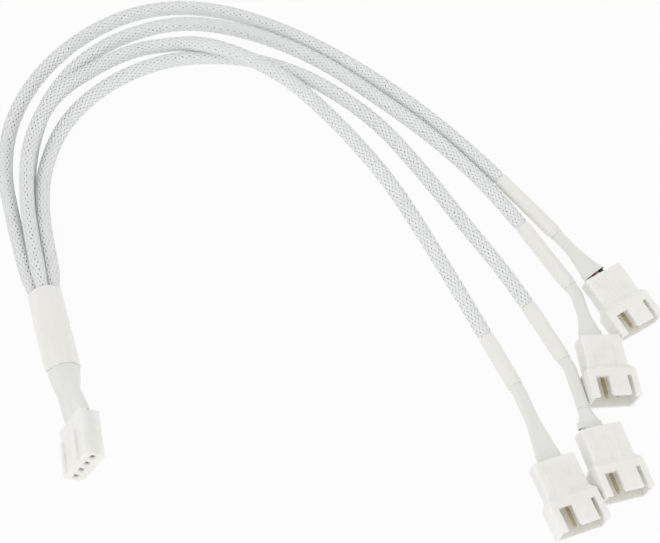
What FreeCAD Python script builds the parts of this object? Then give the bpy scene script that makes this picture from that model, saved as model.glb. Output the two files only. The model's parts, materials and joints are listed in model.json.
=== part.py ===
import FreeCAD, Part
import math
import os

# Four-way fan splitter lead: a socket plug, a shrink-wrapped joint, four braided legs and four pin plugs.
# Millimetres. The lead lies on the table at z = 0, +Z up. The plugs' mouths point towards -Y.

V = FreeCAD.Vector

# Contacts and wires
PITCH = 2.54
WAYS = 4
PIN = 0.64
WIRE_D = 1.05
WIRE_GAP = 0.14
CAVITY_W = 1.5
CAVITY_H = 1.9
CONTACT_CLEARANCE = 0.08
CRIMP = 1.1
CRIMP_L = 1.4
WIRE_SEAT = 3.0
POCKET_L = 1.8
LANCE_RISE = 0.4
LANCE_L = 1.6

# Socket plug
SOCKET_W = 10.2
SOCKET_T = 4.9
SOCKET_L = 12.3
SOCKET_EDGE_R = 0.4
SOCKET_FRONT_WALL = 0.8
SOCKET_HOLE = 1.1
SOCKET_FUNNEL = 0.3
RIB_W = 0.8
RIB_RISE = 0.6
RIB_START = 4.2
BACK_STEP_L = 1.2
BACK_STEP_T = 0.25

# Pin plug: rear block, sloped shoulder, open shroud
BLOCK_W = 9.9
BLOCK_H = 5.0
BLOCK_L = 8.0
SHOULDER_L = 1.4
SHROUD_L = 6.9
SHROUD_WALL = 0.7
SHROUD_BACKSET = 0.4
FLOOR_T = 1.4
EDGE_R = 0.35
MATE_CLEARANCE = 0.1
TONGUE_T = 1.0
TONGUE_W = 4.55
TONGUE_LEFT = -1.25
TONGUE_SETBACK = 0.4
TONGUE_CORNER_R = 0.9
WIDE_SLOT_W = 3.05
SLOT_BAND = 1.8
WINDOW_W = 1.1
WINDOW_L = 2.2
RIDGE_W = 0.5
RIDGE_RISE = 0.12
RIDGE_SETBACK = 0.9
PIN_SETBACK = 1.0
PIN_TIP_L = 0.7
PIN_TIP = 0.3

# Braided legs and their shrink collars
SLEEVE_D = 3.8
SQUEEZED_D = 3.1
SQUEEZE_L = 1.5
COLLAR_WALL = 0.35
COLLAR_SEAT = 6.0
COLLAR_NECK_L = 3.0
COLLAR_LIP_L = 1.2
COLLAR_LIP_WALL = 0.2
SHRINK_GAP = 0.05
PAST_COLLAR = 2.5

# Shrink covers that lead the wires, side by side, to a plug
COVER_WALL = 0.15
COVER_CLEARANCE = 0.14
COVER_SPREAD = 6.0
COVER_TURN = 1.0
STRAIGHT = math.radians(0.05)
# The second leg's cover passes close by the third plug's mouth before it spreads
PASSING_GAP = 0.06
PASSING_AHEAD = 0.3
PASSING_Z = 4.0

# Shrink-wrapped joint
TRUNK_START = V(-72.0, 11.0, 0)
TRUNK_END = V(-64.6, -10.0, 0)
TRUNK_D = 8.4
TRUNK_WALL = 0.45
TRUNK_EDGE_R = 0.3
INNER_WALL = 0.25
INNER_CLEARANCE = 0.15
INNER_SPREAD = 7.2
INNER_TUCK = 0.5
INNER_END = 0.4
ROW_STAGGER = 0.3
ROW_LEAD = 4.6
SLEEVE_SEAT = 8.0
NECK_CLEARANCE = 0.07
SPLICE_CLEARANCE = 0.3
SPLICE_L = 6.0
WIRE_LEAD = 3.0

# Sizes that follow from the ones above
ROW_X = [(i - (WAYS - 1) / 2) * PITCH for i in range(WAYS)]
BETWEEN_X = [(before + after) / 2 for before, after in zip(ROW_X, ROW_X[1:])]
HOLLOW_W = SOCKET_W + 2 * MATE_CLEARANCE
HOLLOW_H = SOCKET_T + 2 * MATE_CLEARANCE
SHROUD_W = HOLLOW_W + 2 * SHROUD_WALL
SHROUD_H = SHROUD_WALL + HOLLOW_H + TONGUE_T
ROW_Z = SHROUD_WALL + HOLLOW_H / 2
PLUG_L = BLOCK_L + SHOULDER_L + SHROUD_L
HOLLOW_BACK = PLUG_L - SHROUD_L - SHROUD_BACKSET
CAVITY_L = HOLLOW_BACK - FLOOR_T
NARROW_SLOT_W = RIB_W + 2 * MATE_CLEARANCE
TONGUE_RIGHT = TONGUE_LEFT + TONGUE_W
COLLAR_D = SQUEEZED_D + 2 * (COLLAR_WALL + SHRINK_GAP)
COVER_ROOM = WIRE_D / 2 + COVER_CLEARANCE + COVER_WALL
INNER_ROOM = WIRE_D / 2 + INNER_CLEARANCE + INNER_WALL
ROW_RISE = [0, ROW_STAGGER, -ROW_STAGGER, 0]
TRUNK_BORE_R = TRUNK_D / 2 - TRUNK_WALL
TRUNK_AXIS = (TRUNK_END - TRUNK_START).normalize()
TRUNK_L = (TRUNK_END - TRUNK_START).Length
TRUNK_SIDE = V(-TRUNK_AXIS.y, TRUNK_AXIS.x, 0)
TRUNK_Z = TRUNK_D / 2
INNER_R = TRUNK_BORE_R - SHRINK_GAP
FOUR_IN_ROUND = 0.5 + math.sqrt(0.5)
NECK_D = (TRUNK_BORE_R - NECK_CLEARANCE) / FOUR_IN_ROUND
SPLICE_D = (INNER_R - INNER_WALL - SPLICE_CLEARANCE - WIRE_GAP * math.sqrt(0.5)) / FOUR_IN_ROUND

# Places of the pin plugs: back of the housing in plan, heading, roll about the plug's axis and nose-down tilt
OUTPUT_POSES = {
    1: (46.9, -32.2, 19.0, 2, 0),
    2: (58.0, -24.7, 15.0, 6, 0),
    3: (60.9, -1.6, 6, 7, 0),
    4: (63.9, 15.8, 30, -4, 8),
}
OUTPUT_WIRES = {1: 4, 2: 3, 3: 3, 4: 3}
PASSED_PLUGS = {2: 3}
INPUT_POSE = (-59.1, -23.2, 14.6, -50, -9.6)

# Routes of the legs from the joint's mouth to the collar, centreline points chosen by hand
LEG_ROUTES = {
    1: [(-75.9, 33.5, 4.2), (-78.6, 50.5, 1.9), (-74.6, 68.3, 1.9), (-63.3, 82.3, 1.9), (-47.2, 90.6, 1.9),
        (-28.8, 90.0, 1.9), (-11.5, 79.3, 1.9), (1.5, 64.3, 1.9), (13.4, 46.8, 1.9), (22.4, 28.4, 1.9),
        (30.6, 10.6, 1.9), (37.6, -5.6, 2.6)],
    2: [(-79.3, 33.5, 1.9), (-82.9, 50.0, 1.9), (-82.2, 66.5, 1.9), (-74.7, 82.3, 1.9), (-60.0, 93.6, 1.9),
        (-42.3, 96.9, 1.9), (-24.8, 91.9, 1.9), (-5.5, 82.0, 1.9), (10.2, 67.5, 1.9), (22.0, 50.3, 1.9),
        (32.2, 33.0, 1.9), (43.1, 15.6, 1.9), (48.8, 2.9, 2.6)],
    3: [(-79.4, 34.5, 6.5), (-82.4, 51.5, 5.9), (-81.6, 69.5, 5.9), (-75.6, 87.2, 4.9), (-62.5, 99.7, 1.9),
        (-45.5, 104.3, 1.9), (-26.5, 98.0, 1.9), (-6.8, 89.6, 1.9), (10.3, 74.8, 1.9), (26.3, 59.4, 1.9),
        (41.3, 42.0, 1.9), (49.9, 26.6, 2.6)],
    4: [(-83.7, 33.8, 3.4), (-89.2, 50.5, 1.9), (-89.8, 68.0, 1.9), (-84.2, 85.5, 1.9), (-72.6, 100.5, 1.9),
        (-56.5, 109.9, 1.9), (-37.3, 110.6, 1.9), (-17.5, 102.5, 1.9), (1.7, 89.4, 1.9), (19.8, 73.8, 1.9),
        (36.6, 55.6, 1.9), (46.2, 41.8, 2.6)],
}
# Place of each leg in the joint's mouth: towards the side, and up; then the same just clear of the mouth
LEG_MOUTH = {1: (1, 0), 2: (0, -1), 3: (0, 1), 4: (-1, 0)}
LEG_CLEAR = {1: (3.1, 4.2), 2: (0, 1.9), 3: (0, 6.6), 4: (-3.1, 4.2)}
CLEAR_RUN = 6.0
COLLAR_LENGTHS = {1: 14.5, 2: 16.5, 3: 20.9, 4: 22.0}
# Where each leg's cover starts to spread and where it stops, both measured back from its plug
FLARE_LENGTHS = {1: 10.0, 2: 4.0, 3: 6.0, 4: 9.0}
COVER_ENDS = {1: 0.4, 2: 0.7, 3: 0.6, 4: 0.9}


def box(x0, x1, y0, y1, z0, z1):
    """Box between two opposite corners, given in any order along each axis."""
    low = V(min(x0, x1), min(y0, y1), min(z0, z1))
    return Part.makeBox(abs(x1 - x0), abs(y1 - y0), abs(z1 - z0), low)


def rounded_section(width, height, radius, y, z_mid):
    """Closed outline of a rectangle with round corners, standing across the Y axis."""
    x, z = width / 2, height / 2
    bend = radius * (1 - math.sqrt(0.5))
    edges = []
    for turn in range(4):
        sx, sz = [(1, 1), (-1, 1), (-1, -1), (1, -1)][turn]
        before = V(sx * x, y, z_mid + sz * (z - radius))
        after = V(sx * (x - radius), y, z_mid + sz * z)
        if turn % 2:
            before, after = after, before
        middle = V(sx * (x - bend), y, z_mid + sz * (z - bend))
        edges.append((before, middle, after))
    wire = []
    for turn in range(4):
        wire.append(Part.Arc(*edges[turn]).toShape())
        wire.append(Part.LineSegment(edges[turn][2], edges[(turn + 1) % 4][0]).toShape())
    return Part.Wire(wire)


def path_of(points, name, most_reach):
    """Straight runs joined by tangent arcs, as large as the runs and the most reach to each side allow."""
    edges = []
    at = points[0]
    radii = []
    for before, corner, after in zip(points, points[1:], points[2:]):
        a, b = before - corner, after - corner
        reach = min(0.45 * min(a.Length, b.Length), most_reach)
        a.normalize()
        b.normalize()
        half_turn = (math.pi - a.getAngle(b)) / 2
        if half_turn < STRAIGHT:
            continue
        radius = reach / math.tan(half_turn)
        radii.append(radius)
        start, end = corner + a * reach, corner + b * reach
        inward = (a + b).normalize()
        middle = corner + inward * (radius / math.cos(half_turn) - radius)
        edges.append(Part.LineSegment(at, start).toShape())
        edges.append(Part.Arc(start, middle, end).toShape())
        at = end
    edges.append(Part.LineSegment(at, points[-1]).toShape())
    wire = Part.Wire(edges)
    print(f"{name}: length {wire.Length:.1f}, radii", " ".join(f"{r:.0f}" for r in radii))
    return wire


def tube(points, diameter, name, most_reach=math.inf):
    """Solid round cord along a route."""
    path = path_of(points, name, most_reach)
    heading = points[1] - points[0]
    disc = Part.Face(Part.Wire(Part.makeCircle(diameter / 2, points[0], heading)))
    solid = path.makePipe(disc)
    share = solid.Volume / (math.pi * diameter ** 2 / 4 * path.Length)
    print(f"{name}: volume over section times length {share:.4f}")
    return solid


def along(profile, start, axis):
    """Turns a (distance, radius) outline about an axis that starts at a point."""
    points = [V(r, 0, s) for s, r in profile]
    points.append(points[0])
    solid = Part.Face(Part.makePolygon(points)).revolve(V(0, 0, 0), V(0, 0, 1), 360)
    turn = FreeCAD.Rotation(V(0, 0, 1), axis)
    solid.Placement = FreeCAD.Placement(start, turn)
    return solid


def plug_placement(housing, pose):
    """Placement that turns a plug to its pose and sets its lowest point on the table."""
    x, y, heading, roll, nose_down = pose
    turn = FreeCAD.Rotation(V(0, 0, 1), heading)
    turn = turn.multiply(FreeCAD.Rotation(V(1, 0, 0), nose_down))
    turn = turn.multiply(FreeCAD.Rotation(V(0, 1, 0), roll))
    trial = housing.copy()
    trial.Placement = FreeCAD.Placement(V(x, y, 0), turn)
    return FreeCAD.Placement(V(x, y, -trial.optimalBoundingBox(False).ZMin), turn)


def placed(shape, placement):
    """Copy of a shape moved from a plug's own frame to its place on the table."""
    copy = shape.copy()
    copy.Placement = placement.multiply(copy.Placement)
    return copy


def pin_housing():
    """Moulded pin plug: contact block, sloped shoulder and a shroud with a tongue between two key slots."""
    block_back = rounded_section(BLOCK_W, BLOCK_H, EDGE_R, 0, ROW_Z)
    block_front = rounded_section(BLOCK_W, BLOCK_H, EDGE_R, -BLOCK_L, ROW_Z)
    shroud_back = rounded_section(SHROUD_W, SHROUD_H, EDGE_R, -BLOCK_L - SHOULDER_L, SHROUD_H / 2)
    shroud_front = rounded_section(SHROUD_W, SHROUD_H, EDGE_R, -PLUG_L, SHROUD_H / 2)
    body = Part.makeLoft([block_back, block_front, shroud_back, shroud_front], True, True)
    block_top = ROW_Z + BLOCK_H / 2
    ridges = [box(x - RIDGE_W / 2, x + RIDGE_W / 2, -RIDGE_SETBACK, -BLOCK_L - SHOULDER_L / 2,
                  block_top - EDGE_R, block_top + RIDGE_RISE)
              for x in BETWEEN_X]
    body = body.fuse(ridges)
    over = 1.0
    past = -PLUG_L - over
    above = SHROUD_H + over
    hollow = box(-HOLLOW_W / 2, HOLLOW_W / 2, -HOLLOW_BACK, past, SHROUD_WALL, SHROUD_WALL + HOLLOW_H)
    slot_back = -BLOCK_L - SHOULDER_L - SLOT_BAND
    tongue_base = SHROUD_WALL + HOLLOW_H / 2
    wide_slot = box(TONGUE_LEFT - WIDE_SLOT_W, TONGUE_LEFT, slot_back, past, tongue_base, above)
    narrow_slot = box(TONGUE_RIGHT, TONGUE_RIGHT + NARROW_SLOT_W, slot_back, past, tongue_base, above)
    tongue_end = -PLUG_L + TONGUE_SETBACK
    setback = box(TONGUE_LEFT, TONGUE_RIGHT, tongue_end, past, tongue_base, above)
    corner = box(TONGUE_LEFT, TONGUE_LEFT + TONGUE_CORNER_R, tongue_end, tongue_end + TONGUE_CORNER_R,
                 tongue_base, above)
    round_post = Part.makeCylinder(TONGUE_CORNER_R, SHROUD_H, V(TONGUE_LEFT + TONGUE_CORNER_R,
                                                               tongue_end + TONGUE_CORNER_R, tongue_base))
    cuts = [hollow, wide_slot, narrow_slot, setback, corner.cut(round_post)]
    for x in ROW_X:
        cuts.append(box(x - CAVITY_W / 2, x + CAVITY_W / 2, over, -CAVITY_L,
                        ROW_Z - CAVITY_H / 2, ROW_Z + CAVITY_H / 2))
        hole = PIN / 2 + CONTACT_CLEARANCE
        cuts.append(box(x - hole, x + hole, -CAVITY_L + over, -HOLLOW_BACK - over,
                        ROW_Z - hole, ROW_Z + hole))
        window_front = -CAVITY_L + FLOOR_T
        cuts.append(box(x - WINDOW_W / 2, x + WINDOW_W / 2, window_front, window_front + WINDOW_L,
                        ROW_Z, ROW_Z - BLOCK_H))
    cuts.append(wire_pocket(ROW_Z))
    return body.cut(cuts)


def wire_pocket(z_mid):
    """Room at the wire end of a plug, where the wires spread to the contacts' pitch."""
    half = ROW_X[-1] + CAVITY_W / 2
    over = 1.0
    return box(-half, half, over, -POCKET_L, z_mid - CAVITY_H / 2, z_mid + CAVITY_H / 2)


def contact_body(length):
    """Folded box of a crimp contact with its lance and crimp, front face at the origin, towards +Y."""
    w = CAVITY_W / 2 - CONTACT_CLEARANCE
    h = CAVITY_H / 2 - CONTACT_CLEARANCE
    body = box(-w, w, 0, length, -h, h)
    lance_w = WINDOW_W / 2 - CONTACT_CLEARANCE
    lance_front = FLOOR_T + CONTACT_CLEARANCE
    lance = Part.Face(Part.makePolygon([
        V(-lance_w, lance_front, -h),
        V(-lance_w, lance_front + LANCE_L, -h - LANCE_RISE),
        V(-lance_w, lance_front + LANCE_L, -h),
        V(-lance_w, lance_front, -h),
    ])).extrude(V(2 * lance_w, 0, 0))
    crimp = Part.makeCylinder(CRIMP / 2, CRIMP_L, V(0, length, 0), V(0, 1, 0))
    return body.fuse([lance, crimp])


def pin_contact():
    """Square pin with a tapered tip on a crimp contact, in its cavity's frame."""
    length = CAVITY_L - WIRE_SEAT - CRIMP_L
    tip_end = -(PLUG_L - CAVITY_L - PIN_SETBACK)
    tip_base = tip_end + PIN_TIP_L
    shank = box(-PIN / 2, PIN / 2, 0, tip_base, -PIN / 2, PIN / 2)
    base = Part.makePolygon([V(sx * PIN / 2, tip_base, sz * PIN / 2)
                             for sx, sz in ((1, 1), (-1, 1), (-1, -1), (1, -1), (1, 1))])
    end = Part.makePolygon([V(sx * PIN_TIP / 2, tip_end, sz * PIN_TIP / 2)
                            for sx, sz in ((1, 1), (-1, 1), (-1, -1), (1, -1), (1, 1))])
    tip = Part.makeLoft([base, end], True, True)
    return contact_body(length).fuse([shank, tip])


def socket_housing():
    """Moulded socket plug with two keying ribs, funnelled holes and lance windows."""
    back = rounded_section(SOCKET_W, SOCKET_T, SOCKET_EDGE_R, 0, 0)
    front = rounded_section(SOCKET_W, SOCKET_T, SOCKET_EDGE_R, -SOCKET_L, 0)
    body = Part.makeLoft([back, front], True, True)
    top = SOCKET_T / 2
    root = SOCKET_T / 4
    slot_rib = -TONGUE_RIGHT - MATE_CLEARANCE
    key_rib = -TONGUE_LEFT + MATE_CLEARANCE
    ribs = [box(slot_rib, slot_rib - RIB_W, -RIB_START, -SOCKET_L, root, top + RIB_RISE),
            box(key_rib, key_rib + RIB_W, -RIB_START, -SOCKET_L, root, top + RIB_RISE)]
    body = body.fuse(ribs)
    over = 1.0
    cavity_l = SOCKET_L - SOCKET_FRONT_WALL
    cuts = [box(SOCKET_W / 2 - BACK_STEP_T, SOCKET_W / 2 + over, over, -BACK_STEP_L, -SOCKET_T, SOCKET_T)]
    for x in ROW_X:
        cuts.append(box(x - CAVITY_W / 2, x + CAVITY_W / 2, over, -cavity_l, -CAVITY_H / 2, CAVITY_H / 2))
        hole, mouth = SOCKET_HOLE / 2, SOCKET_HOLE / 2 + SOCKET_FUNNEL
        cuts.append(box(x - hole, x + hole, -cavity_l + over, -SOCKET_L - over, -hole, hole))
        inner = Part.makePolygon([V(x + sx * hole, -SOCKET_L + SOCKET_FUNNEL, sz * hole)
                                  for sx, sz in ((1, 1), (-1, 1), (-1, -1), (1, -1), (1, 1))])
        outer = Part.makePolygon([V(x + sx * mouth, -SOCKET_L, sz * mouth)
                                  for sx, sz in ((1, 1), (-1, 1), (-1, -1), (1, -1), (1, 1))])
        cuts.append(Part.makeLoft([inner, outer], True, True))
        window_front = -cavity_l + FLOOR_T
        cuts.append(box(x - WINDOW_W / 2, x + WINDOW_W / 2, window_front, window_front + WINDOW_L,
                        0, -SOCKET_T))
    cuts.append(wire_pocket(0))
    return body.cut(cuts)


def socket_contact():
    """Box contact that a square pin slides into, in its cavity's frame."""
    length = SOCKET_L - SOCKET_FRONT_WALL - WIRE_SEAT - CRIMP_L
    grip = PIN / 2 + CONTACT_CLEARANCE / 2
    bore = box(-grip, grip, -1, length - FLOOR_T, -grip, grip)
    return contact_body(length).cut(bore)


def trunk_point(distance, side=0.0, up=0.0):
    """Point in the joint, by its distance from the mouth along the axis, and its place across the section."""
    return TRUNK_START + TRUNK_AXIS * distance + TRUNK_SIDE * side + V(0, 0, TRUNK_Z + up)


def trunk_shrink():
    """Outer shrink tube over the joint, its rims rounded off."""
    r, bore, edge = TRUNK_D / 2, TRUNK_BORE_R, TRUNK_EDGE_R
    profile = [(0, bore), (0, r - edge), (edge, r), (TRUNK_L - edge, r), (TRUNK_L, r - edge), (TRUNK_L, bore)]
    return along(profile, trunk_point(0), TRUNK_AXIS)


def station(centre, side, up, half_width, half_height):
    """Frame and half sizes of a cover's section, across its way from the side and up directions."""
    turn = FreeCAD.Rotation(side, up.cross(side), up, "XZY")
    return FreeCAD.Placement(centre, turn), half_width, half_height


def cover(stations, wall, over=0.5):
    """Thin shell through oval sections, open at both ends."""
    def ovals(less):
        """The sections' outlines, drawn in by a distance."""
        found = []
        for place, half_width, half_height in stations:
            low = min(half_width, half_height) - less
            outline = rounded_section(2 * (half_width - less), 2 * (half_height - less), 0.98 * low, 0, 0)
            outline.Placement = place
            found.append(outline)
        return found

    outer = Part.makeLoft(ovals(0), True, True)
    hollow = ovals(wall)
    for end, beside in ((0, 1), (-1, -2)):
        away = stations[end][0].Base - stations[beside][0].Base
        outline = hollow[end].copy()
        outline.translate(away.normalize() * over)
        hollow.insert(0 if end == 0 else len(hollow), outline)
    return outer.cut(Part.makeLoft(hollow, True, True))


def inner_stations(placement):
    """Sections of the joint's inner shrink: round over the splices, then flat over the row of wires."""
    up = V(0, 0, 1)
    plug_side = placement.Rotation.multVec(V(1, 0, 0))
    plug_up = placement.Rotation.multVec(V(0, 0, 1))
    row = (WAYS - 1) / 2 * WIRE_D + INNER_ROOM
    half_side = (TRUNK_SIDE + plug_side).normalize()
    half_up = TRUNK_AXIS.cross(half_side).normalize()
    return [
        station(trunk_point(SLEEVE_SEAT + SHRINK_GAP), TRUNK_SIDE, up, INNER_R, INNER_R),
        station(trunk_point(TRUNK_L - INNER_TUCK), TRUNK_SIDE, up, INNER_R, INNER_R),
        station(trunk_point(TRUNK_L + ROW_LEAD), half_side, half_up, row, INNER_ROOM + ROW_STAGGER),
        station(placement.multVec(V(0, INNER_END, 0)), plug_side, plug_up, INNER_SPREAD / 2, INNER_ROOM),
    ]


def leg_points(leg):
    """Route of a leg: seated in the joint, its mouth, just clear of it, and on to the collar."""
    spread = NECK_D / math.sqrt(2)
    side, up = LEG_MOUTH[leg]
    clear_side, clear_z = LEG_CLEAR[leg]
    points = [trunk_point(distance, side * spread, up * spread) for distance in (SLEEVE_SEAT, 0)]
    points.append(trunk_point(-CLEAR_RUN, clear_side, clear_z - TRUNK_Z))
    return points + [V(*p) for p in LEG_ROUTES[leg]]


def sleeve(leg):
    """Braided leg: a neck squeezed into the joint, a flare, the plain tube, and its end in the collar."""
    points = leg_points(leg)
    seat, mouth, clear = points[:3]
    neck = Part.makeCylinder(NECK_D / 2, (mouth - seat).Length, seat, mouth - seat)
    rim = Part.Wire(Part.makeCircle(NECK_D / 2, mouth, mouth - seat))
    full = Part.Wire(Part.makeCircle(SLEEVE_D / 2, clear, points[3] - clear))
    flare = Part.makeLoft([rim, full], True, True)
    run = tube(points[2:], SLEEVE_D, f"sleeve_{leg}")
    start, axis, sleeve_end = collar_frame(leg)
    squeezed = SQUEEZED_D / 2
    over = 1.0
    draw = (SLEEVE_D / 2 - squeezed) / SQUEEZE_L
    clear = squeezed + draw * (SQUEEZE_L + over)
    ring = along([(-SQUEEZE_L - over, clear), (0, squeezed), (COLLAR_SEAT + over, squeezed),
                  (COLLAR_SEAT + over, clear)], start, axis)
    return run.cut(ring).fuse([flare, neck]).removeSplitter()


def collar_frame(leg):
    """Start point of a leg's collar, its axis and the sleeve's end, all on the leg's last straight run."""
    points = leg_points(leg)
    axis = (points[-1] - points[-2]).normalize()
    return points[-1] - axis * COLLAR_SEAT, axis, points[-1]


def collar(leg):
    """Shrink collar over a sleeve's end, drawn down onto the wires, with a thin lip."""
    start, axis, sleeve_end = collar_frame(leg)
    bore = SQUEEZED_D / 2 + SHRINK_GAP
    r = COLLAR_D / 2
    neck = bundle_radius(leg) + SHRINK_GAP
    length = COLLAR_LENGTHS[leg]
    lip = neck + COLLAR_LIP_WALL
    drawn = COLLAR_SEAT + SHRINK_GAP
    profile = [(0, bore), (0, r), (length - COLLAR_LIP_L, r), (length - COLLAR_LIP_L, lip), (length, lip),
               (length, neck), (drawn + COLLAR_NECK_L, neck), (drawn, bore)]
    return along(profile, start, axis)


def bundle_offset(count, index):
    """Place of a wire in its bundle: three nest in a triangle, four in a square."""
    gap = WIRE_D + WIRE_GAP
    if count == 3:
        low = -gap / (2 * math.sqrt(3))
        return [(-gap / 2, low), (0, gap / math.sqrt(3)), (gap / 2, low)][index]
    corner = gap / math.sqrt(2)
    return [(-corner, 0), (0, -corner), (0, corner), (corner, 0)][index]


def bundle_radius(leg):
    """Outer radius of a leg's cover where its wires still lie in a bundle."""
    return max(math.hypot(*bundle_offset(OUTPUT_WIRES[leg], 0)), WIRE_D / 2) + COVER_ROOM


def cover_line(leg, placement, passed):
    """Frames of a leg's cover: in its collar, past it, by the plug that it passes, its flare and its end.

    Each is a section with the places of the wires in it, side to side in the plug's order.
    """
    start, axis, sleeve_end = collar_frame(leg)
    count = OUTPUT_WIRES[leg]
    radius = bundle_radius(leg)
    side = V(0, 0, 1).cross(axis).normalize()
    up = axis.cross(side)
    bundle = [bundle_offset(count, index) for index in range(count)]
    drawn = COLLAR_SEAT + SHRINK_GAP + COLLAR_NECK_L + COLLAR_WALL
    found = [(station(start + axis * drawn, side, up, radius, radius), bundle),
             (station(start + axis * (COLLAR_LENGTHS[leg] + PAST_COLLAR), side, up, radius, radius), bundle)]
    plug_side = placement.Rotation.multVec(V(1, 0, 0))
    plug_up = placement.Rotation.multVec(V(0, 0, 1))
    middle = sum(ROW_X[:count]) / count
    end = placement.multVec(V(middle, COVER_ENDS[leg], ROW_Z))
    if passed is not None:
        beside = passed.multVec(V(-SHROUD_W / 2 - radius - PASSING_GAP, -PLUG_L - PASSING_AHEAD, ROW_Z))
        beside.z = PASSING_Z
        found.append((station(beside, side, up, radius, radius), bundle))
    (last, *_), offsets = found[-1]
    flare = end + (last.Base - end).normalize() * FLARE_LENGTHS[leg]
    found.append((station(flare, side, up, radius, radius), bundle))
    pitch = (COVER_SPREAD - 2 * COVER_ROOM) / (count - 1)
    row = [((index - (count - 1) / 2) * pitch, 0) for index in range(count)]
    found.append((station(end, plug_side, plug_up, COVER_SPREAD / 2, COVER_ROOM), row))
    return found


def output_wire(leg, index, placement, line):
    """Wire from a sleeve's end, through its collar and cover, to one cavity of the pin plug."""
    start, axis, sleeve_end = collar_frame(leg)
    (first, *_), bundle = line[0]
    across, rise = bundle[index]
    points = [sleeve_end + first.Rotation.multVec(V(across, 0, rise))]
    for (place, *_), offsets in line[1:]:
        across, rise = offsets[index]
        points.append(place.multVec(V(across, 0, rise)))
    points.append(placement.multVec(V(ROW_X[index], -POCKET_L, ROW_Z)))
    points.append(placement.multVec(V(ROW_X[index], -WIRE_SEAT, ROW_Z)))
    return tube(points, WIRE_D, f"output_wire_{leg}_{index + 1}", COVER_TURN)


def input_wire(index, placement, stations):
    """Wire from a splice, along the flat row in the inner shrink, to one cavity of the socket plug."""
    order = [4, 3, 2, 1][index]
    side, up = LEG_MOUTH[order]
    spread = (SPLICE_D + WIRE_GAP) / math.sqrt(2)
    place = index - (WAYS - 1) / 2
    splice_end = SLEEVE_SEAT + SPLICE_L
    points = [trunk_point(splice_end, side * spread, up * spread)]
    points.append(trunk_point(splice_end + WIRE_LEAD, side * spread, up * spread))
    points.append(stations[-2][0].multVec(V(place * WIRE_D, 0, ROW_RISE[index])))
    pitch = (INNER_SPREAD - 2 * INNER_ROOM) / (WAYS - 1)
    points.append(stations[-1][0].multVec(V(place * pitch, 0, 0)))
    points.append(placement.multVec(V(ROW_X[index], -POCKET_L, 0)))
    points.append(placement.multVec(V(ROW_X[index], -WIRE_SEAT, 0)))
    return tube(points, WIRE_D, f"input_wire_{index + 1}", COVER_TURN)


def splice(leg):
    """Crimped joint barrel inside the shrink tubes."""
    side, up = LEG_MOUTH[leg]
    spread = (SPLICE_D + WIRE_GAP) / math.sqrt(2)
    start = trunk_point(SLEEVE_SEAT, side * spread, up * spread)
    return Part.makeCylinder(SPLICE_D / 2, SPLICE_L, start, TRUNK_AXIS)


def build():
    """All the lead's pieces by node name."""
    nodes = {"trunk_shrink": trunk_shrink()}
    housing = socket_housing()
    seat = plug_placement(housing, INPUT_POSE)
    nodes["input_housing"] = placed(housing, seat)
    stations = inner_stations(seat)
    nodes["inner_shrink"] = cover(stations, INNER_WALL)
    contact = socket_contact()
    contact.translate(V(0, -SOCKET_L + SOCKET_FRONT_WALL, 0))
    for index, x in enumerate(ROW_X):
        contact_here = contact.copy()
        contact_here.translate(V(x, 0, 0))
        nodes[f"input_contact_{index + 1}"] = placed(contact_here, seat)
        nodes[f"input_wire_{index + 1}"] = input_wire(index, seat, stations)
    housing = pin_housing()
    contact = pin_contact()
    contact.translate(V(0, -CAVITY_L, ROW_Z))
    seats = {leg: plug_placement(housing, pose) for leg, pose in OUTPUT_POSES.items()}
    for leg, seat in seats.items():
        line = cover_line(leg, seat, seats.get(PASSED_PLUGS.get(leg)))
        nodes[f"output_housing_{leg}"] = placed(housing, seat)
        nodes[f"sleeve_{leg}"] = sleeve(leg)
        nodes[f"collar_{leg}"] = collar(leg)
        nodes[f"output_cover_{leg}"] = cover([section for section, offsets in line], COVER_WALL)
        nodes[f"splice_{leg}"] = splice(leg)
        for index in range(OUTPUT_WIRES[leg]):
            contact_here = contact.copy()
            contact_here.translate(V(ROW_X[index], 0, 0))
            nodes[f"output_pin_{leg}_{index + 1}"] = placed(contact_here, seat)
            nodes[f"output_wire_{leg}_{index + 1}"] = output_wire(leg, index, seat, line)
    return nodes


os.makedirs("parts", exist_ok=True)
for name, shape in build().items():
    shape.exportStep(f"parts/{name}.step")
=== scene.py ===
# Looks of a four-way fan splitter lead: a socket plug, a shrink-wrapped joint, four braided legs with their
# shrink collars, and four pin plugs. Metres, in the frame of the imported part. The lead lies on z = 0.
import json
import logging
import math
from dataclasses import dataclass
from enum import Enum

import bpy
import numpy as np
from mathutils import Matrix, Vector


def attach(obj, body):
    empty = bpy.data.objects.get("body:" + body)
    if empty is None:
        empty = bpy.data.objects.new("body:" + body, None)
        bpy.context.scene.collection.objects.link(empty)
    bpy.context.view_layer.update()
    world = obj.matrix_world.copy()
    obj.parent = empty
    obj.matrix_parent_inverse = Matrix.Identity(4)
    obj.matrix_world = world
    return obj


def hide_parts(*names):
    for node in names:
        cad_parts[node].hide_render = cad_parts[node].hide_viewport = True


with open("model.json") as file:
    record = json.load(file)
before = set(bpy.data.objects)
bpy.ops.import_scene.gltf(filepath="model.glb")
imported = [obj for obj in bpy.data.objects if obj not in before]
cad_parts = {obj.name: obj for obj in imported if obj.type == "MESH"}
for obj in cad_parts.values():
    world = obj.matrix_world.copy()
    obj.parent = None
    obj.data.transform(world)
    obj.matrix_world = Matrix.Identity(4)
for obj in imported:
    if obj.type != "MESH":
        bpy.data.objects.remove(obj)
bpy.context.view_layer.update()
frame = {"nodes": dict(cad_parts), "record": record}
LOG = logging.getLogger("splitter_lead")
MM = 0.001
BODY = "root"


class Slot(Enum):
    """Material slots of the part's record, by name."""

    SLEEVE = "sleeve"
    SHRINK = "shrink"
    WIRE = "wire"


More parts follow.
